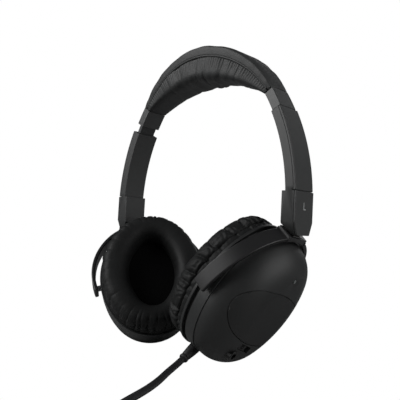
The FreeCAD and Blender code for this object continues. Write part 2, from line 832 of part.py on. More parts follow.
def plug_contact():
    start = plug_start() + V(0, plug_boot_length + plug_body_length, 0)
    pin = rod(plug_pin_radius, start, start + V(0, plug_pin_length - plug_nose_length, 0))
    nose = Part.makeCone(plug_pin_radius, plug_nose_radius, plug_nose_length,
                         start + V(0, plug_pin_length - plug_nose_length, 0), V(0, 1, 0))
    return pin.fuse(nose)


def cable_tail():
    """From the coil's last turn round to the plug's boot."""
    z = cable_radius + cable_floor_gap
    boot = plug_start()
    points = [V(coil_x - 2.0, coil_y - coil_middle_radius - 2.0, z + 1.0),
              V(coil_x + 10.0, coil_y - coil_middle_radius - 10.0, z + 1.5),
              V(coil_x + 22.0, coil_y - coil_middle_radius - 14.0, z + 2.0),
              V(boot.x, boot.y - 10.0, boot.z), boot]
    return tube(points, cable_radius).cut(cable_coil())


def drawn_out(angle):
    """Movement of a left arm along its slide."""
    return FreeCAD.Placement(V(0, 0, 0), FreeCAD.Rotation(V(0, 1, 0), angle), V(slide_centre_x, 0, slide_centre_z))


def flex_pivot():
    """Outer edge of the joint between the band and its end cap, on the left."""
    a = math.radians(cap_high)
    reach = slide_radius + cap_half_thick
    return V(slide_centre_x + reach * math.cos(a), 0, slide_centre_z + reach * math.sin(a))


def flexed(angle):
    """Movement of a left end of the band outwards, as the band's spring gives."""
    return FreeCAD.Placement(V(0, 0, 0), FreeCAD.Rotation(V(0, 1, 0), -angle), flex_pivot())


def side_frames(extension, swivel, tilt):
    cap = flexed(rest_flex)
    arm = cap.multiply(drawn_out(extension))
    fork_place = arm.multiply(fork_frame()).multiply(
        FreeCAD.Placement(V(0, 0, 0), FreeCAD.Rotation(V(0, 0, 1), swivel)))
    return {"cap": cap, "arm": arm, "fork": fork_place, "cup": fork_place.multiply(cup_frame(tilt))}


def side_pieces(frames, shell, body):
    """Pieces that both sides have, each with the frame that it is built in."""
    return [
        ("end_cap", end_cap(), frames["cap"]),
        ("slider_bar", slider_bar(), frames["cap"]),
        ("end_cap_pins", Part.makeCompound(end_cap_pins()), frames["cap"]),
        ("arm_inner_shell", arm_inner_shell(), frames["arm"]),
        ("arm_outer_cover", arm_outer_cover(), frames["arm"]),
        ("hinge_cover", hinge_cover(), frames["arm"]),
        ("arm_screws", Part.makeCompound(arm_screws()), frames["arm"]),
        ("detent_spring", detent_spring(), frames["arm"]),
        ("fork", fork(), frames["fork"]),
        ("swivel_pin", swivel_pin(), frames["fork"]),
        ("tilt_pins", Part.makeCompound(tilt_pins()), frames["fork"]),
        ("cup_body", body, frames["cup"]),
        ("outer_shell", shell, frames["cup"]),
        ("cup_screws", Part.makeCompound(cup_screws()), frames["cup"]),
        ("baffle", baffle(), frames["cup"]),
        ("driver_frame", driver_frame(), frames["cup"]),
        ("driver_magnet", driver_magnet(), frames["cup"]),
        ("driver_diaphragm", driver_diaphragm(), frames["cup"]),
        ("ear_cloth", ear_cloth(), frames["cup"]),
        ("ear_cushion", ear_cushion(), frames["cup"]),
    ]


def left_only_pieces():
    return [
        ("battery_door", battery_door()),
        ("battery", battery()),
        ("battery_tray", battery_tray()),
        ("battery_contacts", Part.makeCompound(battery_contacts())),
        ("circuit_board", circuit_board()),
        ("indicator_lamp", indicator_lamp()),
        ("power_switch", power_switch()),
        ("switch_base", switch_base()),
        ("jack_socket", jack_socket()),
        ("cable_gland", cable_gland()),
    ]


def build():
    """Every piece of the headset at rest, by name."""
    origin = V(origin_x, origin_y, origin_z)
    left = side_frames(0.0, 0.0, rest_tilt_left)
    right = side_frames(rest_extension_right, rest_swivel_right, rest_tilt_right)
    plain_body = cup_body()
    pieces = {
        "headband_top_cover": headband_top_cover(),
        "headband_spring": headband_spring(),
        "headband_cushion": headband_cushion(),
    }
    for name, shape, frame in side_pieces(left, left_outer_shell(), plain_body.cut(cable_gland()).Solids[0]):
        pieces["left_" + name] = placed(shape, frame)
    for name, shape, frame in side_pieces(right, outer_shell(), plain_body):
        pieces["right_" + name] = placed(shape, frame).mirror(V(0, 0, 0), V(1, 0, 0))
    for name, shape in left_only_pieces():
        pieces[name] = placed(shape, left["cup"])
    for name in pieces:
        pieces[name].translate(origin * -1)
    start = left["cup"].multVec(gland_end()) - origin
    coil = cable_coil()
    pieces["cable"] = tube(cable_points(start), cable_radius).cut(coil)
    pieces["cable_coil"] = coil
    pieces["cable_tail"] = cable_tail()
    pieces["plug_body"] = plug_body()
    pieces["plug_contact"] = plug_contact()
    return pieces


os.makedirs("parts", exist_ok=True)
for name, shape in build().items():
    if not shape.isValid():
        print("not valid:", name)
    shape.exportStep("parts/%s.step" % name)
    print(name, len(shape.Solids), "%.0f mm3" % shape.Volume)
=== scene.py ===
import json
import math

import bmesh
import bpy
from mathutils import Matrix, Vector, noise


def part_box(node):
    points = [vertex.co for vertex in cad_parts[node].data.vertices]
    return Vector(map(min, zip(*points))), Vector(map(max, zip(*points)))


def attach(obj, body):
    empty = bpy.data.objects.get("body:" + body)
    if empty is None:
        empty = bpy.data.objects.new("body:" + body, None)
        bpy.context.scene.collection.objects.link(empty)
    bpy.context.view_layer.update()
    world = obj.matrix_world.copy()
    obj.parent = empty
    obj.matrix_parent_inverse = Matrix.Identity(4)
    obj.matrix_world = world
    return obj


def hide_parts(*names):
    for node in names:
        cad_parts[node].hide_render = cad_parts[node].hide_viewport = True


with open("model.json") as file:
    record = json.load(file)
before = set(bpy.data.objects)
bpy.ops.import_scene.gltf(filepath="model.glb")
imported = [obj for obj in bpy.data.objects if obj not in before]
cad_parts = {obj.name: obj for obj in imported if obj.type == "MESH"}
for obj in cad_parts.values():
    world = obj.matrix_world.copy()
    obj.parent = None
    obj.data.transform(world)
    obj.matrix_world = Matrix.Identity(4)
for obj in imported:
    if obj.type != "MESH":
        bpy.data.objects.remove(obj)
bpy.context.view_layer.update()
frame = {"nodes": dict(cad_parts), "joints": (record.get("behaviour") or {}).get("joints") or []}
joints = {joint["name"]: joint for joint in frame["joints"]}
MM = 0.001

# ---------------------------------------------------------------- studio
# White paper under four soft boxes. The headset is black, so its form shows in the wide
# reflections of the boxes. The camera sees paper and sky as plain white, while the light that
# they send onto the headset is kept low.
scene = bpy.context.scene
scene.view_settings.view_transform = "Standard"
camera_place = Vector((245.61, -250.5, 85.2)) * MM
camera_right = Vector((0.7186, 0.6920, 0.0689)).normalized()
camera_back = Vector((0.6952, -0.7173, -0.0465)).normalized()
camera_up = camera_back.cross(camera_right).normalized()
camera_right = camera_up.cross(camera_back)
camera_data = bpy.data.cameras.new("camera")
camera_data.sensor_width = 36.0
camera_data.lens = 47.06
camera_data.clip_start = 0.01
camera = bpy.data.objects.new("camera", camera_data)
camera.matrix_world = Matrix.Translation(camera_place) @ Matrix(
    (camera_right, camera_up, camera_back)).transposed().to_4x4()
scene.collection.objects.link(camera)
scene.camera = camera

world = bpy.data.worlds.new("studio")
world.use_nodes = True
sky = world.node_tree
background = sky.nodes["Background"]
background.inputs["Color"].default_value = (0.95, 0.97, 1.0, 1.0)
background.inputs["Strength"].default_value = 0.09
seen = sky.nodes.new("ShaderNodeBackground")
seen.inputs["Color"].default_value = (1, 1, 1, 1)
seen.inputs["Strength"].default_value = 1.0
seen_or_lit = sky.nodes.new("ShaderNodeMixShader")
ray = sky.nodes.new("ShaderNodeLightPath")
sky.links.new(ray.outputs["Is Camera Ray"], seen_or_lit.inputs[0])
sky.links.new(background.outputs[0], seen_or_lit.inputs[1])
sky.links.new(seen.outputs[0], seen_or_lit.inputs[2])
sky.links.new(seen_or_lit.outputs[0], sky.nodes["World Output"].inputs[0])
scene.world = world


def soft_box(name, place, target, size, watts):
    data = bpy.data.lights.new(name, "AREA")
    data.shape = "RECTANGLE"
    data.size, data.size_y = size
    data.energy = watts
    lamp = bpy.data.objects.new(name, data)
    away = (Vector(place) - Vector(target)).normalized()
    turn = away.to_track_quat("Z", "Y").to_matrix().to_4x4()
    lamp.matrix_world = Matrix.Translation(Vector(place)) @ turn
    scene.collection.objects.link(lamp)


headset_middle = (0.0, 0.0, 0.1)
floor_half_size = 4.0
floor_drop = 0.2 * MM              # keeps the paper just under what stands on it
soft_box("box_over", (-0.35, -0.7, 0.7), headset_middle, (0.5, 0.5), 2.2)
soft_box("box_left", (-0.55, -0.75, 0.55), headset_middle, (0.5, 0.8), 4.6)
soft_box("box_right", (0.95, 0.15, 0.45), headset_middle, (0.7, 0.9), 4.6)
soft_box("box_behind", (-0.3, 0.9, 0.5), headset_middle, (0.9, 0.5), 1.3)

floor_mesh = bmesh.new()
bmesh.ops.create_grid(floor_mesh, x_segments=1, y_segments=1, size=floor_half_size)
bmesh.ops.translate(floor_mesh, verts=floor_mesh.verts, vec=(0, 0, -floor_drop))
floor_data = bpy.data.meshes.new("floor")
floor_mesh.to_mesh(floor_data)
floor_mesh.free()
floor = bpy.data.objects.new("floor", floor_data)
scene.collection.objects.link(floor)
paper = bpy.data.materials.new("paper")
paper.use_nodes = True
paper_tree = paper.node_tree
paper_shader = paper_tree.nodes["Principled BSDF"]
paper_shader.inputs["Base Color"].default_value = (0.40, 0.40, 0.40, 1)
paper_shader.inputs["Roughness"].default_value = 0.9
glow = paper_tree.nodes.new("ShaderNodeEmission")
paper_ray = paper_tree.nodes.new("ShaderNodeLightPath")
glow_or_lit = paper_tree.nodes.new("ShaderNodeMixShader")
paper_tree.links.new(paper_ray.outputs["Is Camera Ray"], glow_or_lit.inputs[0])
paper_tree.links.new(paper_shader.outputs[0], glow_or_lit.inputs[1])
paper_tree.links.new(glow.outputs[0], glow_or_lit.inputs[2])
paper_tree.links.new(glow_or_lit.outputs[0], paper_tree.nodes["Material Output"].inputs[0])
floor_data.materials.append(paper)

# ---------------------------------------------------------------- cable
# A limp round cable with a smooth black jacket. It leaves the strain relief forwards, comes down
# to the surface within a few diameters, wanders off, and its spare length is wound in a coil.


class Signal:
    """One value in a material. Arithmetic on it adds the Math nodes that work it out."""

    def __init__(self, tree, socket):
        self.tree = tree
        self.socket = socket

    def make(self, kind, settings, inputs, output=0):
        node = self.tree.nodes.new(kind)
        for name, value in (settings or {}).items():
            setattr(node, name, value)
        for name, value in inputs.items():
            if isinstance(value, Signal):
                self.tree.links.new(value.socket, node.inputs[name])
            else:
                node.inputs[name].default_value = value
        return Signal(self.tree, node.outputs[output])

    def math(self, operation, first, second=0.0, clamp=False):
        return self.make("ShaderNodeMath", {"operation": operation, "use_clamp": clamp},
                         {0: first, 1: second})

    def __add__(self, other):
        return self.math("ADD", self, other)

    def __sub__(self, other):
        return self.math("SUBTRACT", self, other)

    def __mul__(self, other):
        return self.math("MULTIPLY", self, other)

    def __pow__(self, other):
        return self.math("POWER", self, other)

    def sine(self):
        return self.math("SINE", self)

    def clamped(self):
        return self.math("ADD", self, 0.0, clamp=True)

    def noise(self, scale, detail, roughness=0.5):
        return self.make("ShaderNodeTexNoise", None,
                         {"Vector": self, "Scale": scale, "Detail": detail,
                          "Roughness": roughness})

    def cells(self, scale):
        return self.make("ShaderNodeTexVoronoi", {"feature": "F1"},
                         {"Vector": self, "Scale": scale, "Randomness": 1.0}, "Distance")

    def between(self, first, second):
        """Blend of two colours, with this value as the share of the second."""
        node = self.tree.nodes.new("ShaderNodeMix")
        node.data_type = "RGBA"
        self.tree.links.new(self.socket, node.inputs[0])
        for place, value in ((6, first), (7, second)):
            if isinstance(value, Signal):
                self.tree.links.new(value.socket, node.inputs[place])
            else:
                node.inputs[place].default_value = (*value, 1.0)
        return Signal(self.tree, node.outputs[2])


def new_finish(name):
    """An empty material, with its shader and the signal of the place on the piece."""
    material = bpy.data.materials.new(name)
    material.use_nodes = True
    tree = material.node_tree
    shader = tree.nodes["Principled BSDF"]
    place = Signal(tree, tree.nodes.new("ShaderNodeTexCoord").outputs["Object"])
    return material, shader, place


def wear(shader, inputs):
    """Give the shader's sockets their values or signals."""
    for name, value in inputs.items():
        if isinstance(value, Signal):
            value.tree.links.new(value.socket, shader.inputs[name])
        else:
            shader.inputs[name].default_value = value


def raised(height, depth, strength):
    """Normal of a surface whose relief is height times depth, in metres."""
    return height.make("ShaderNodeBump", None,
                       {"Height": height, "Distance": depth, "Strength": strength}, "Normal")


def rubber_finish(name, colour, dust):
    """Matte rubber with a soft bloom where it has been handled."""
    material, shader, place = new_finish(name)
    bloom = (place.noise(140.0, 4.0) - 0.42) * 2.0
    fine = place.noise(2600.0, 2.0)
    lighter = tuple(channel * 1.7 + 0.006 for channel in colour)
    wear(shader, {
        "Base Color": (bloom.clamped() * dust).between(colour, lighter),
        "Roughness": bloom.clamped() * 0.14 + 0.5,
        "Normal": raised(fine, 0.03 * MM, 0.6),
        "Specular IOR Level": 0.45,
    })
    return material


def steel_finish(name, colour, roughness, metallic=1.0,
                 stretch=(40.0, 2600.0, 2600.0)):
    """Brushed metal: fine scratches run along the piece."""
    material, shader, place = new_finish(name)
    along = place.make("ShaderNodeMapping", None, {"Vector": place, "Scale": stretch})
    scratches = along.noise(1.0, 3.0, 0.6)
    dull = place.noise(90.0, 3.0)
    darker = tuple(channel * 0.6 for channel in colour)
    wear(shader, {
        "Base Color": (scratches * 0.5).between(colour, darker),
        "Roughness": scratches * 0.16 + dull * 0.1 + (roughness - 0.13),
        "Metallic": metallic,
        "Normal": raised(scratches, 0.012 * MM, 0.5),
    })
    return material


def add_piece(name, shape, body, material, replaced=(), sharp=None):
    """Make a finished bmesh into a piece that rides on its body and stands for its CAD nodes."""
    mesh = bpy.data.meshes.new(name)
    shape.to_mesh(mesh)
    shape.free()
    mesh.shade_smooth()
    if sharp is not None:
        mesh.set_sharp_from_angle(angle=math.radians(sharp))
    piece = bpy.data.objects.new(name, mesh)
    scene.collection.objects.link(piece)
    mesh.materials.append(material)
    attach(piece, body)
    if replaced:
        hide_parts(*replaced)
    return piece


cable_radius = 1.95 * MM
cable_z = 2.0                      # height of its middle where it lies on the surface, in mm
gland_tip = Vector((27.363, -30.654, 5.982)) * MM
cable_route = [
    (27.68, -35.6, 3.38), (30.6, -44.5, cable_z), (40.2, -59.2, cable_z),
    (49.4, -77.0, cable_z), (56.2, -95.4, cable_z), (64.6, -112.4, cable_z),
    (72.8, -127.0, cable_z)]
coil_low, coil_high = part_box("cable_coil")
coil_centre = (coil_low + coil_high) / 2
turn_radii = [15.6, 19.5, 23.4, 27.3]
layer_rise = 3.9
points_per_turn = 14
turn_count = 11 + 2 / points_per_turn
first_angle = math.radians(165.0)
change_over = 0.2                  # share of a turn in which the cable moves to the next one


def turn_place(number):
    """Radius and height of one turn: the layers are wound inwards and outwards by turns."""
    layer, column = divmod(number, len(turn_radii))
    outward = column if layer % 2 else len(turn_radii) - 1 - column
    return Vector((turn_radii[outward], cable_z + layer_rise * layer))


def coil_point(radius, angle, height):
    return Vector((coil_centre.x + radius * math.cos(angle) * MM,
                   coil_centre.y + radius * math.sin(angle) * MM, height * MM))


route = [gland_tip] + [Vector(point) * MM for point in cable_route]
for step in range(round(turn_count * points_per_turn) + 1):
    number, within = divmod(step / points_per_turn, 1.0)
    change = max(0.0, (within - 1.0 + change_over) / change_over)
    radius, height = turn_place(int(number)).lerp(turn_place(int(number) + 1), change)
    route.append(coil_point(radius, first_angle + 2 * math.pi * (number + within), height))
climb_out = ((240, 18.0, 12.0), (260, 23.0, 13.9), (278, 29.0, 13.0), (294, 35.0, 8.0))
for degrees, radius, height in climb_out:
    route.append(coil_point(radius, math.radians(degrees), height))
plug_low, plug_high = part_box("plug_body")
plug_x = (plug_low.x + plug_high.x) / 2
plug_z = (plug_low.z + plug_high.z) / 2
route += [Vector((plug_x - 9.0 * MM, plug_low.y - 15.0 * MM, 4.2 * MM)),
          Vector((plug_x, plug_low.y - 10.0 * MM, plug_z)),
          Vector((plug_x, plug_low.y + 1.0 * MM, plug_z))]

cable_curve = bpy.data.curves.new("cable", "CURVE")
cable_curve.dimensions = "3D"
cable_curve.bevel_depth = cable_radius
cable_curve.bevel_resolution = 5
cable_curve.resolution_u = 5
cable_curve.use_fill_caps = True
spline = cable_curve.splines.new("NURBS")
spline.points.add(len(route) - 1)
for point, place in zip(spline.points, route):
    point.co = (*place, 1.0)
spline.order_u = 4
spline.use_endpoint_u = True
cable = bpy.data.objects.new("signal_cable", cable_curve)
scene.collection.objects.link(cable)
cable_curve.materials.append(rubber_finish("cable_jacket", (0.018, 0.018, 0.019), 0.2))
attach(cable, "left_cup")
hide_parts("cable", "cable_coil", "cable_tail")

# ---------------------------------------------------------------- strain relief and plug
# Rubber moulded round the cable where it leaves the cup: a cone with a rolled lip at its small
# end. The far end carries a plain two-part plug with a plated pin.


def turned(profile, start, along, faces=40):
    """Spin a profile of (distance along, radius) pairs, in millimetres, into a closed piece."""
    shape = bmesh.new()
    corners = [shape.verts.new((radius * MM, 0, distance * MM)) for distance, radius in profile]
    edges = [shape.edges.new(pair) for pair in zip(corners, corners[1:])]
    bmesh.ops.spin(shape, geom=corners + edges, cent=(0, 0, 0), axis=(0, 0, 1), dvec=(0, 0, 0),
                   angle=2 * math.pi, steps=faces, use_merge=True, use_duplicate=False)
    bmesh.ops.remove_doubles(shape, verts=shape.verts, dist=1e-7)
    bmesh.ops.recalc_face_normals(shape, faces=shape.faces)
    turn = Vector(along).normalized().to_track_quat("Z", "Y").to_matrix().to_4x4()
    bmesh.ops.transform(shape, matrix=Matrix.Translation(Vector(start)) @ turn, verts=shape.verts)
    return shape


gland_way = Vector((0.05587, -0.883452, -0.465178)).normalized()
strain_rubber = rubber_finish("strain_rubber", (0.020, 0.020, 0.021), 0.35)
gland_profile = [
    (-18.3, 0.0), (-18.3, 3.9), (-17.6, 4.3), (-16.8, 4.3), (-16.4, 3.6), (-11.0, 3.5),
    (-8.0, 3.3), (-2.6, 2.72), (-2.3, 2.5), (-1.9, 2.5), (-1.6, 2.85), (-0.9, 2.9),
    (-0.3, 2.65), (0.0, 2.3), (0.0, 1.9), (-1.5, 1.9), (-1.5, 0.0)]
gland = add_piece("strain_relief", turned(gland_profile, gland_tip, gland_way), "left_cup",
                  strain_rubber, ["cable_gland"], sharp=50)

plug_rubber = rubber_finish("plug_rubber", (0.020, 0.020, 0.022), 0.3)
plug_profile = [(0.0, 0.0), (0.0, 2.1), (0.3, 2.5)]
for rib in range(4):
    rib_start = 1.2 + 2.1 * rib
    plug_profile += [
        (rib_start, 2.6 + 0.22 * rib), (rib_start + 0.25, 2.3 + 0.2 * rib),
        (rib_start + 0.9, 2.3 + 0.2 * rib), (rib_start + 1.15, 2.75 + 0.22 * rib)]
plug_profile += [(9.9, 3.5), (10.4, 3.9), (11.2, 4.1), (13.0, 4.18), (33.5, 4.18),
                 (35.0, 3.95), (35.8, 3.2), (36.0, 2.6), (36.0, 0.0)]
plug_start = Vector((plug_x, plug_low.y, plug_z))
plug_body = add_piece("plug_grip", turned(plug_profile, plug_start, (0, 1, 0)), "left_cup",
                      plug_rubber, ["plug_body"], sharp=50)
pin_profile = [
    (-0.4, 0.0), (-0.4, 2.4), (0.35, 2.4), (0.45, 1.75), (7.0, 1.75), (7.1, 1.6), (7.6, 1.6),
    (7.7, 1.75), (10.2, 1.75), (10.3, 1.6), (10.8, 1.6), (10.9, 1.75), (12.2, 1.72),
    (13.2, 1.2), (13.7, 0.75), (14.0, 0.3), (14.0, 0.0)]
plating = steel_finish("plug_plating", (0.72, 0.70, 0.64), 0.2)
pin_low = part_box("plug_contact")[0]
pin_start = (plug_x, pin_low.y, plug_z)
plug_pin = add_piece("plug_pin", turned(pin_profile, pin_start, (0, 1, 0), 32), "left_cup",
                     plating, ["plug_contact"], sharp=40)

# ---------------------------------------------------------------- headband
# A sprung steel leaf between a stuffed top cover and a softer cushion, both in the same fine
# leatherette. Their two edges are sewn along the sides, and the cushion has creased in use.


def leatherette(name, colour, grain, crease, shine=0.5):
    """Coated cloth: small pebbles with shallow valleys, slightly paler where it is stretched."""
    material, shader, place = new_finish(name)
    pebbles = place.cells(grain)
    fold = place.noise(120.0, 4.0, 0.55)
    broad = place.noise(45.0, 3.0)
    paler = tuple(channel * 1.55 + 0.003 for channel in colour)
    relief = pebbles * -1.0 + fold * crease + place.noise(5200.0, 1.0) * 0.25
    wear(shader, {
        "Base Color": ((broad - 0.35) * 1.6).clamped().between(colour, paler),
        "Roughness": pebbles * 0.12 + broad * 0.16 + 0.4,
        "Normal": raised(relief, 0.09 * MM, 0.75),
        "Specular IOR Level": shine,
    })
    return material


band_y = 5.40
band_drop = 2.50
band_height = 139.0 - band_drop                  # of the centre of its outer arc
band_centre = Vector((0.0, band_y, band_height)) * MM
cover_radius = 67.7
seam_circle = (130.33 - band_drop, 69.37)        # height of its centre, radius
pad_circle = (77.05 - band_drop, 105.9)
crown_half_width = 14.5
narrowing = 6.1                      # of the half width, this far out from the crown
narrowing_at = 62.0
band_end_angle = math.radians(60.0)
end_slant = math.radians(0.055)      # the ends lie along the collars, not along a ray
spring_room = 1.15


def band_reach(angle, circle):
    """Distance from the band's centre, along a ray at this angle from upright, to a circle."""
    centre_height, radius = circle
    drop = centre_height - band_height
    along = drop * math.cos(angle)
    return along + math.sqrt(radius * radius - drop * drop + along * along)


def band_half_width(angle):
    x = cover_radius * math.sin(angle)
    arc_radius = (narrowing_at ** 2 + narrowing ** 2) / (2 * narrowing)
    return crown_half_width - (arc_radius - math.sqrt(arc_radius ** 2 - x * x))


def rounded_corner(angle, squareness):
    """Point of a rounded rectangle with half sides of one."""
    c, s = math.cos(angle), math.sin(angle)
    return math.copysign(abs(c) ** squareness, c), math.copysign(abs(s) ** squareness, s)


def band_form(inner, outer, inset, along, around, squareness, swell):
    """A stuffed form along the band between two radii, closed at both ends.

    Squareness is that of its inner and of its outer corners: the smaller, the squarer.
    """
    shape = bmesh.new()
    bmesh.ops.create_grid(shape, x_segments=along, y_segments=around, size=0.5)
    for vertex in shape.verts:
        share, turn = vertex.co.x + 0.5, (vertex.co.y + 0.5) * 2 * math.pi
        angle = (2 * share - 1) * band_end_angle
        low, high = inner(angle), outer(angle)
        inner_side = math.sin(turn) < 0
        across, up = rounded_corner(turn, squareness[0] if inner_side else squareness[1])
        end_pinch = 1.0 - 0.05 * max(0.0, abs(2 * share - 1) - 0.94) / 0.06
        y = across * (band_half_width(angle) - inset) * end_pinch
        reach = (low + high) / 2 + up * (high - low) / 2
        y, reach = swell(angle, across, up, y, reach)
        angle += (2 * share - 1) * end_slant * (cover_radius - reach)
        vertex.co = band_centre + Vector((reach * math.sin(angle), y, reach * math.cos(angle))) * MM
    bmesh.ops.remove_doubles(shape, verts=shape.verts, dist=1e-6)
    rims = [edge for edge in shape.edges if edge.is_boundary]
    bmesh.ops.holes_fill(shape, edges=rims, sides=0)
    bmesh.ops.recalc_face_normals(shape, faces=shape.faces)
    return shape


def cover_swell(angle, across, up, y, reach):
    """The cover is smooth on top, and its edges turn down to the seam."""
    ripple = noise.noise(Vector((angle * 9, y * 0.12, 3.0)))
    turned_down = 0.55 * abs(across) ** 8 * (up < -0.5)
    return y + across * 0.25 * ripple, reach - turned_down + (0.35 * ripple if up > 0 else 0.0)


def pad_swell(angle, across, up, y, reach):
    """The cushion sags and creases on its free underside and sides."""
    free = max(0.0, -up)
    side = abs(across) ** 3
    middle = math.cos(angle / band_end_angle * math.pi / 2)
    broad = noise.noise(Vector((angle * 5.2 + 1.7, y * 0.055, 0.4)))
    crease = noise.noise(Vector((angle * 13.0 + y * 0.10, y * 0.05, 7.3)))
    fold = abs(math.sin(angle * 11.0 + y * 0.09 + 2.2 * broad))
    depth = middle * (1.5 * broad + 0.8 * crease - 1.0 * (1 - fold) ** 3)
    gather = 0.28 * math.sin(angle * 210 + 3.0 * crease) * math.exp(-((up - 0.75) / 0.22) ** 2)
    turned_up = 0.5 * abs(across) ** 8 * (up > 0.5)
    return y + across * (0.5 * side * depth + gather), reach + turned_up - free * depth * 0.9


cover_hide = leatherette("band_leatherette", (0.024, 0.025, 0.025), 1500.0, 0.35)
pad_hide = leatherette("pad_leatherette", (0.021, 0.022, 0.022), 1400.0, 0.8)
cover_form = band_form(lambda angle: band_reach(angle, seam_circle) + 0.05,
                       lambda angle: cover_radius,
                       0.1, 180, 48, (0.16, 0.5), cover_swell)
cover = add_piece("band_top_cover", cover_form,
                  "headband", cover_hide, ["headband_top_cover"])
pad_form = band_form(lambda angle: band_reach(angle, pad_circle) + 0.15,
                     lambda angle: band_reach(angle, seam_circle) - spring_room,
                     0.2, 240, 60, (0.6, 0.16), pad_swell)
pad = add_piece("band_cushion", pad_form,
                "headband", pad_hide, ["headband_cushion"])

# A piping covers the seam between the two along each side.
piping_radius = 0.85
piping_inset = 0.9
piping_share = 0.985               # of the band's length
stitches = 90
for front in (-1, 1):
    piping_curve = bpy.data.curves.new("piping", "CURVE")
    piping_curve.dimensions = "3D"
    piping_curve.bevel_depth = piping_radius * MM
    piping_curve.bevel_resolution = 3
    piping_curve.use_fill_caps = True
    run = piping_curve.splines.new("POLY")
    run.points.add(stitches)
    for index, point in enumerate(run.points):
        angle = (2 * index / stitches - 1) * band_end_angle * piping_share
        reach = band_reach(angle, seam_circle) - spring_room / 2
        side_reach = front * (band_half_width(angle) - piping_inset)
        place = band_centre + MM * Vector((reach * math.sin(angle), side_reach,
                                           reach * math.cos(angle)))
        point.co = (*place, 1.0)
    piping_curve.materials.append(cover_hide)
    piping = bpy.data.objects.new("band_piping", piping_curve)
    scene.collection.objects.link(piping)
    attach(piping, "headband")

spring_steel = steel_finish("spring_steel", (0.32, 0.32, 0.33), 0.32)


def refinish(node, material):
    """A CAD node whose shape is right takes its finish."""
    obj = frame["nodes"][node]
    obj.data.materials.clear()
    obj.data.materials.append(material)


refinish("headband_spring", spring_steel)

# ---------------------------------------------------------------- ends of the band, slides and arms
# Moulded collars, metal slide bars and two-part arms. Their shapes are taken over from the CAD,
# most of them with eased edges, so a joint between two mouldings catches a thin line of light.


def moulded(name, colour, roughness, grain=0.02):
    """Spark-textured plastic: fine even grain, with faint broad unevenness in its sheen."""
    material, shader, place = new_finish(name)
    spark = place.noise(2300.0, 3.0, 0.6)
    broad = place.noise(38.0, 3.0)
    rubbed = (place.noise(260.0, 5.0, 0.7) - 0.55) * 3.0
    paler = tuple(channel * 1.35 + 0.002 for channel in colour)
    wear(shader, {
        "Base Color": (broad * 0.7 + rubbed.clamped() * 0.3).between(colour, paler),
        "Roughness": spark * 0.10 + broad * 0.14 + (roughness - 0.12),
        "Normal": raised(spark, grain * MM, 0.6),
        "Specular IOR Level": 0.5,
    })
    return material


def softened(name, node, body, material, width, smooth=32):
    """A CAD piece in its finish. With a width, in mm, its edges over smooth degrees are eased."""
    source = frame["nodes"][node]
    shape = bmesh.new()
    shape.from_mesh(source.data)
    shape.transform(source.matrix_world)
    bmesh.ops.remove_doubles(shape, verts=shape.verts, dist=1e-5)
    if width:
        bmesh.ops.dissolve_limit(shape, angle_limit=math.radians(0.1), verts=shape.verts,
                                 edges=shape.edges)
    piece = add_piece(name, shape, body, material, [node], sharp=smooth)
    if width:
        ease = piece.modifiers.new("eased_edges", "BEVEL")
        ease.width = width * MM
        ease.segments = 2
        ease.limit_method = "ANGLE"
        ease.angle_limit = math.radians(smooth)
        ease.use_clamp_overlap = False
        ease.harden_normals = True
    return piece


collar_plastic = moulded("collar_plastic", (0.040, 0.041, 0.041), 0.38)
arm_plastic = moulded("arm_plastic", (0.035, 0.036, 0.036), 0.45)
slider_metal = steel_finish("slider_metal", (0.060, 0.062, 0.063), 0.42, 0.6,
                            (60.0, 60.0, 1800.0))
fork_metal = moulded("fork_metal", (0.010, 0.010, 0.0105), 0.40, 0.012)
pin_steel = steel_finish("pin_steel", (0.34, 0.34, 0.35), 0.3)
screw_steel = steel_finish("screw_steel", (0.07, 0.07, 0.072), 0.42)

for side in ("left", "right"):
    end, arm = side + "_band_end", side + "_arm"
    for name, node, body, material, slot, width, smooth in (
            ("_collar", "_end_cap", end, collar_plastic, "collar_plastic", 0.5, 32),
            ("_bar", "_slider_bar", end, slider_metal, "slider_metal", 0.3, 32),
            ("_arm_shell", "_arm_inner_shell", arm, arm_plastic, "arm_plastic", 0.0, 32),
            ("_arm_cover", "_arm_outer_cover", arm, arm_plastic, "arm_plastic", 0.45, 32),
            ("_hinge_plate", "_hinge_cover", arm, arm_plastic, "arm_plastic", 0.4, 32),
            ("_yoke", "_fork", side + "_fork", fork_metal, "fork_metal", 0.7, 40)):
        softened(side + name, side + node, body, material, width, smooth)
    refinish(side + "_end_cap_pins", pin_steel)
    refinish(side + "_swivel_pin", pin_steel)
    refinish(side + "_tilt_pins", pin_steel)
    refinish(side + "_detent_spring", spring_steel)
    refinish(side + "_arm_screws", screw_steel)
    refinish(side + "_cup_screws", screw_steel)

# The side letters are printed in pale grey on the outer face of each hinge cover.
letter_ink = bpy.data.materials.new("letter_ink")
letter_ink.use_nodes = True
letter_shader = letter_ink.node_tree.nodes["Principled BSDF"]
letter_shader.inputs["Base Color"].default_value = (0.36, 0.37, 0.37, 1.0)
letter_shader.inputs["Roughness"].default_value = 0.55


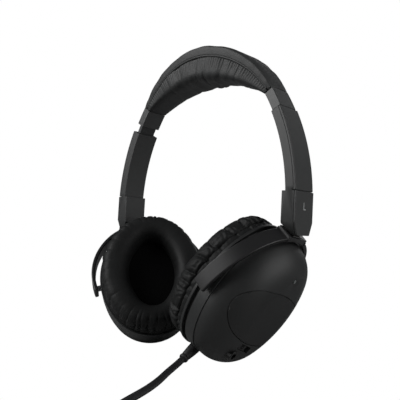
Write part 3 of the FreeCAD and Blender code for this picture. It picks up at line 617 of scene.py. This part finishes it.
def side_letter(letter, node, body, outward):
    """A letter of a 6.2 mm type size, lying on the flat outer face of the hinge cover."""
    data = bpy.data.curves.new("letter_" + letter, "FONT")
    data.body = letter
    data.size = 6.2 * MM
    data.align_x = "CENTER"
    data.align_y = "CENTER"
    data.extrude = 0.02 * MM
    mark = bpy.data.objects.new("side_letter_" + letter, data)
    scene.collection.objects.link(mark)
    mesh = frame["nodes"][node].data
    place = frame["nodes"][node].matrix_world
    faces = sorted(mesh.polygons, key=lambda face:
                   -face.area * max(0.0, face.normal.dot(outward)) ** 8)[:2]
    normal = faces[0].normal.copy()
    corners = [place @ mesh.vertices[index].co for face in faces for index in face.vertices]
    middle = sum(corners, Vector()) / len(corners)
    up = (Vector((0, 0, 1)) - normal * normal.z).normalized()
    across = up.cross(normal)
    mark.matrix_world = Matrix.Translation(middle + normal * 0.01 * MM) @ Matrix(
        (across, up, normal)).transposed().to_4x4()
    bpy.context.view_layer.update()
    flat = bpy.data.meshes.new_from_object(mark)
    flat.transform(mark.matrix_world)
    flat.materials.clear()
    flat.materials.append(letter_ink)
    bpy.data.objects.remove(mark)
    piece = bpy.data.objects.new("letter_" + letter, flat)
    scene.collection.objects.link(piece)
    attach(piece, body)
    return piece


side_letter("L", "left_hinge_cover", "left_arm", Vector((1, 0, 0)))
side_letter("R", "right_hinge_cover", "right_arm", Vector((-1, 0, 0)))

# ---------------------------------------------------------------- cups
# Each cup is a body with a flange, a shell in the same spark-textured plastic and, inside, the
# driver behind a black mesh. The left one also holds the battery, lamp, switch and socket.
cup_plastic = moulded("cup_plastic", (0.014, 0.0147, 0.0147), 0.52, 0.03)
body_plastic = moulded("cup_body_plastic", (0.019, 0.020, 0.020), 0.40, 0.02)
door_plastic = moulded("door_plastic", (0.009, 0.0095, 0.0095), 0.54, 0.03)
inner_plastic = moulded("inner_plastic", (0.022, 0.022, 0.023), 0.55)
switch_plastic = moulded("switch_plastic", (0.004, 0.004, 0.0042), 0.36)
socket_plastic = moulded("socket_plastic", (0.003, 0.003, 0.0032), 0.32, 0.004)
sleeve_plastic = moulded("battery_sleeve", (0.16, 0.17, 0.19), 0.30, 0.004)
magnet_plate = steel_finish("magnet_plate", (0.50, 0.50, 0.52), 0.25)
contact_plate = steel_finish("contact_plate", (0.60, 0.58, 0.52), 0.28)
solder_mask = moulded("solder_mask", (0.02, 0.11, 0.05), 0.35, 0.004)
film = moulded("diaphragm_film", (0.06, 0.06, 0.065), 0.22, 0.004)


def mesh_cloth(name, pitch):
    """Woven cloth: two families of threads cross at right angles, dark between them."""
    material, shader, place = new_finish(name)
    parts = place.make("ShaderNodeSeparateXYZ", None, {"Vector": place})
    along = Signal(material.node_tree, parts.socket.node.outputs["X"])
    upward = Signal(material.node_tree, parts.socket.node.outputs["Z"])
    turns = 2 * math.pi / pitch
    first = ((along + upward) * turns).sine() * 0.5 + 0.5
    second = ((along - upward) * turns).sine() * 0.5 + 0.5
    thread = first.math("MAXIMUM", first, second)
    wear(shader, {
        "Base Color": (thread ** 4.0).between((0.0008, 0.0008, 0.0008),
                                              (0.004, 0.004, 0.0041)),
        "Roughness": thread * -0.15 + 0.9,
        "Normal": raised(thread, 0.12 * MM, 0.8),
        "Specular IOR Level": 0.1,
    })
    return material


black_cloth = mesh_cloth("black_cloth", 1.1 * MM)
lens_material, lens_shader, lens_place = new_finish("lamp_lens")
wear(lens_shader, {
    "Base Color": (0.10, 0.11, 0.11, 1.0),
    "Roughness": lens_place.noise(900.0, 2.0) * 0.2 + 0.12,
    "Coat Weight": 0.6,
    "Normal": raised(lens_place.noise(1500.0, 2.0), 0.01 * MM, 0.5),
})

for side in ("left", "right"):
    cup = side + "_cup"
    softened(side + "_housing", side + "_cup_body", cup, body_plastic, 0.3)
    softened(side + "_shell", side + "_outer_shell", cup, cup_plastic, 0.0,
             28)
    softened(side + "_cloth", side + "_ear_cloth", cup, black_cloth, 0.05,
             12)
    refinish(side + "_baffle", inner_plastic)
    refinish(side + "_driver_frame", inner_plastic)
    refinish(side + "_driver_magnet", magnet_plate)
    refinish(side + "_driver_diaphragm", film)

softened("door", "battery_door", "battery_door", door_plastic, 0.12)
softened("socket", "jack_socket", "left_cup", socket_plastic, 0.2)
softened("lamp", "indicator_lamp", "left_cup", lens_material, 0.25)
softened("slider_knob", "power_switch", "power_switch", switch_plastic,
         0.25)

# Three ribs across the switch's knob give the finger a hold.
rib_pitch = 1.1
rib_size = Vector((0.45, 2.6, 0.5)) * MM

knob_low, knob_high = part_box("power_switch")
left_out = Vector(joints["battery_door"]["axis"]).normalized()
left_across = Vector(joints["power_switch"]["axis"]).normalized()
left_up = left_out.cross(left_across)
knob_mesh = frame["nodes"]["power_switch"]
knob_corners = [knob_mesh.matrix_world @ vertex.co for vertex in knob_mesh.data.vertices]
knob_face = max(corner.dot(left_out) for corner in knob_corners)
knob_middle = (knob_low + knob_high) / 2
knob_top = knob_middle + left_out * (knob_face - knob_middle.dot(left_out))
knob_turn = Matrix((left_across, left_up, left_out)).transposed().to_4x4()
for rib in (-1, 0, 1):
    bar = bmesh.new()
    bmesh.ops.create_cube(bar, size=1.0)
    rib_place = Matrix.Translation(knob_top + left_across * rib * rib_pitch * MM)
    bmesh.ops.transform(bar, verts=bar.verts,
                        matrix=rib_place @ knob_turn @ Matrix.Diagonal((*rib_size, 1.0)))
    add_piece("switch_rib", bar, "power_switch", switch_plastic, sharp=30)
refinish("battery", sleeve_plastic)
refinish("battery_tray", inner_plastic)
refinish("battery_contacts", contact_plate)
refinish("circuit_board", solder_mask)
refinish("switch_base", switch_plastic)

# ---------------------------------------------------------------- ear cushions
# Soft rings of foam in gathered leatherette. A flat band is tucked in behind the flange, a row of
# pleats is gathered into a seam next to it, and the folds run out over the crown of the ring.
cushion_back = -9.4                # along the cup's outward direction, in millimetres
cushion_crown = -25.4
oval_half_wide, oval_half_high, oval_end_radius = 35.0, 43.5, 30.0
hole_half_wide, hole_half_high = 16.2, 26.7
pleats_round = 33
fine_folds_round = 90


def oval_place(turn, grow):
    """Point of the cup's oval, of four tangent arcs, whose outward direction is at this turn."""
    shift = oval_half_high - oval_end_radius
    flank = ((oval_half_wide ** 2 - oval_end_radius ** 2 + shift ** 2)
             / (2 * (oval_half_wide - oval_end_radius)))
    c, s = math.cos(turn), math.sin(turn)
    if abs(s) * (flank - oval_half_wide) < abs(c) * shift:
        centre, radius = (math.copysign(flank - oval_half_wide, -c), 0.0), flank
    else:
        centre, radius = (0.0, math.copysign(shift, s)), oval_end_radius
    return centre[0] + (radius + grow) * c, centre[1] + (radius + grow) * s


# Half of the ring's section: how far it lies from the outer wall (0) to the wall of the hole (1),
# and how far along the cup's axis, from its back at 0 to its crown at 1.
ring_section = ((0.02, 0.0), (0.0, 0.04), (0.0, 0.20), (0.035, 0.26), (0.0, 0.34),
                (0.0, 0.50), (0.02, 0.68), (0.09, 0.86), (0.22, 0.97), (0.40, 1.0),
                (0.58, 0.985), (0.74, 0.92), (0.87, 0.80), (0.95, 0.64), (1.0, 0.44),
                (1.0, 0.20), (0.98, 0.03), (0.93, 0.0))
seam_at = 3.0 / (len(ring_section) - 1)          # the tuck at the fourth of these points


def along_section(share):
    """Smooth point of the section at a share of the way through its listed points."""
    reach = share * (len(ring_section) - 1)
    index = min(int(reach), len(ring_section) - 2)
    part = reach - index
    first, second = ring_section[index], ring_section[index + 1]
    before = ring_section[max(index - 1, 0)]
    after = ring_section[min(index + 2, len(ring_section) - 1)]
    return [0.5 * (2 * b + (c - a) * part + (2 * a - 5 * b + 4 * c - d) * part ** 2
                   + (3 * b - a - 3 * c + d) * part ** 3)
            for a, b, c, d in zip(before, first, second, after)]


def bump_about(value, middle, spread):
    return math.exp(-((value - middle) / spread) ** 2)


def ear_cushion(origin, outward, across, upward, seed, looseness):
    """The gathered ring, in the frame of its cup. Looseness sets how deep its folds are."""
    shape = bmesh.new()
    bmesh.ops.create_grid(shape, x_segments=540, y_segments=60, size=0.5)
    for vertex in shape.verts:
        turn = (vertex.co.x + 0.5) * 2 * math.pi
        share = vertex.co.y + 0.5
        inward, rise = along_section(share)
        c, s = math.cos(turn), math.sin(turn)
        ring = Vector((c, s, 0.0)) * 1.6
        wander = noise.noise(Vector((ring.x * 2.1, ring.y * 2.1, seed)))
        lean = noise.noise(Vector((ring.x * 3.0, ring.y * 3.0, seed + rise * 1.6)))
        place = turn * pleats_round / (2 * math.pi) + 0.8 * wander + 0.55 * lean * rise
        within = place % 1.0
        depth = 0.62 + 0.5 * noise.cell(Vector((math.floor(place) % pleats_round, seed, 0.5)))
        fold = abs(math.sin(math.pi * within)) ** 0.42
        drift = noise.noise(Vector((ring.x * 6, ring.y * 6, seed + rise * 4)))
        fine_place = place * fine_folds_round / pleats_round + 1.3 * drift
        fine = abs(math.sin(math.pi * fine_place)) ** 0.7
        side = bump_about(rise, 0.42, 0.30) if inward < 0.5 else 0.0
        over = bump_about(inward, 0.18, 0.26) * (rise > 0.5)
        inner = bump_about(rise, 0.55, 0.35) * (inward > 0.7)
        seam = bump_about(share, seam_at, 0.03)
        pleated = looseness * (side + 0.5 * over + 0.18 * inner)
        finely = 0.7 * looseness * (fine - 0.6) * (side + 0.4 * over)
        out = pleated * depth * (4.2 * fold - 3.3) + finely - 0.6 * seam
        soft = noise.noise(Vector((ring.x * 1.3, ring.y * 1.3, seed + 9.0 + inward)))
        top = max(0.0, rise - 0.9) * 10.0
        creased = looseness * 0.35 * (1.0 - fold) * top * bump_about(inward, 0.25, 0.22)
        crown = soft * 0.35 * top - creased
        outer_u, outer_w = oval_place(turn, -0.3)
        hole_grow = ((hole_half_wide - oval_half_wide) * c * c
                     + (hole_half_high - oval_half_high) * s * s)
        inner_u, inner_w = oval_place(turn, hole_grow)
        if inward < 0.5:
            outer_u += out * c
            outer_w += out * s
        else:
            inner_u -= 0.6 * out * c
            inner_w -= 0.6 * out * s
        u = outer_u + (inner_u - outer_u) * inward
        w = outer_w + (inner_w - outer_w) * inward
        n = cushion_back + (cushion_crown - cushion_back) * rise - crown
        vertex.co = origin + (outward * n + across * u + upward * w) * MM
    bmesh.ops.remove_doubles(shape, verts=shape.verts, dist=1e-6)
    rims = [edge for edge in shape.edges if edge.is_boundary]
    bmesh.ops.bridge_loops(shape, edges=rims)
    bmesh.ops.recalc_face_normals(shape, faces=shape.faces)
    return shape


cushion_hide = leatherette("cushion_leatherette", (0.0095, 0.0099, 0.0099), 1600.0, 0.7,
                           0.22)
# Each cup's frame: its origin, its outward direction, and the short and long axes of its oval.
left_centre = Vector((46.237, -0.931, 45.498)) * MM
right_out = Vector((-0.642582, 0.522241, -0.560672))
right_across = Vector((0.600034, 0.798037, 0.055642))
right_up = Vector((-0.476496, 0.300667, 0.826166))
right_centre = Vector((-42.568, 1.390, 41.151)) * MM
for side, centre, outward, across, upward, seed, looseness in (
        ("left", left_centre, left_out, left_across, left_up, 2.0, 1.0),
        ("right", right_centre, right_out, right_across, right_up, 11.0, 0.75)):
    form = ear_cushion(centre, outward, across, upward, seed, looseness)
    ring = add_piece(side + "_cushion", form, side + "_cup",
                     cushion_hide, [side + "_ear_cushion"])
